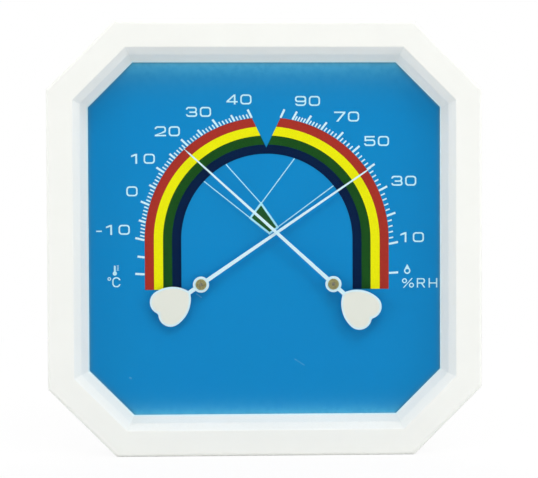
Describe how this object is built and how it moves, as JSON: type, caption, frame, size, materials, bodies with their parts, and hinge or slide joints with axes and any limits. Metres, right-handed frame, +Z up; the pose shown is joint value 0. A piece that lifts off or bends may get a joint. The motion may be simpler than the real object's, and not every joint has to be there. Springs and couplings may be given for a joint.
{
  "type": "thermo-hygrometer",
  "caption": "Octagonal wall thermo-hygrometer with a recessed dial, two hands on spiral sensor coils, and a keyhole in its back cover to hang it.",
  "frame": {"origin": "middle of the keyhole slot's top end, on the plane of the wall", "axes": "+X to the right and +Z up as seen from the front, +Y into the wall; the dial faces -Y"},
  "size_m": [0.23, 0.03, 0.23],
  "materials": {
    "frame_white": "moulded, satin gloss",
    "surround_white": "moulded, satin",
    "cover_white": "moulded, fine texture",
    "glass": "clear",
    "dial_blue": "printed, semi-matt",
    "ink_red": "printed",
    "ink_yellow": "printed",
    "ink_green": "printed",
    "ink_navy": "printed",
    "ink_white": "printed",
    "hand_white": "painted, semi-gloss",
    "brass": "turned, slightly dull",
    "steel": "zinc plated",
    "arbor_steel": "ground and polished",
    "spring_steel": "blued",
    "bimetal": "rolled strip",
    "moisture_strip": "coated strip"
  },
  "bodies": {
    "case": {"bezel": "frame_white", "glass": "glass", "surround": "surround_white", "surround_screws": "steel", "dial_plate": "dial_blue", "dial_screws": "steel", "red_band": "ink_red", "yellow_band": "ink_yellow", "green_band": "ink_green", "navy_band": "ink_navy", "scale_marks": "ink_white", "numerals": "ink_white", "unit_signs": "ink_white", "comfort_zone": "ink_green", "comfort_lines": "ink_white", "carrier_plate": "steel", "carrier_screws": "steel", "front_bushes": "brass", "bridge_pillars": "brass", "bridge_screws": "steel", "temp_bridge": "steel", "humidity_bridge": "steel", "back_cover": "cover_white", "cover_screws": "steel"},
    "temp_adjuster": {"temp_adjuster_arm": "steel", "temp_adjuster_hub": "brass", "temp_adjuster_washer": "spring_steel", "temp_coil_stud": "brass"},
    "humidity_adjuster": {"humidity_adjuster_arm": "steel", "humidity_adjuster_hub": "brass", "humidity_adjuster_washer": "spring_steel", "humidity_coil_stud": "brass"},
    "temp_hand": {"temp_arbor": "arbor_steel", "temp_pointer": "hand_white", "temp_pointer_boss": "brass", "temp_collet": "brass", "bimetal_coil": "bimetal"},
    "humidity_hand": {"humidity_arbor": "arbor_steel", "humidity_pointer": "hand_white", "humidity_pointer_boss": "brass", "humidity_collet": "brass", "moisture_coil": "moisture_strip"}
  },
  "joints": [
    {"name": "temp_adjust", "type": "hinge", "parent": "case", "child": "temp_adjuster", "pos_m": [0.03655, -0.0065, -0.1084], "axis": [0, 1, 0], "range_deg": [-10, 10]},
    {"name": "temp_swing", "type": "hinge", "parent": "temp_adjuster", "child": "temp_hand", "pos_m": [0.03655, -0.0145, -0.1084], "axis": [0, 1, 0], "range_deg": [-39.18, 21.72], "stiffness_Nm_per_rad": 0.008, "deforming": ["bimetal_coil"]},
    {"name": "humidity_adjust", "type": "hinge", "parent": "case", "child": "humidity_adjuster", "pos_m": [-0.03435, -0.0065, -0.1084], "axis": [0, -1, 0], "range_deg": [-1, 10]},
    {"name": "humidity_swing", "type": "hinge", "parent": "humidity_adjuster", "child": "humidity_hand", "pos_m": [-0.03435, -0.0145, -0.1084], "axis": [0, -1, 0], "range_deg": [-31.04, 30.03], "stiffness_Nm_per_rad": 0.008, "deforming": ["moisture_coil"]}
  ]
}
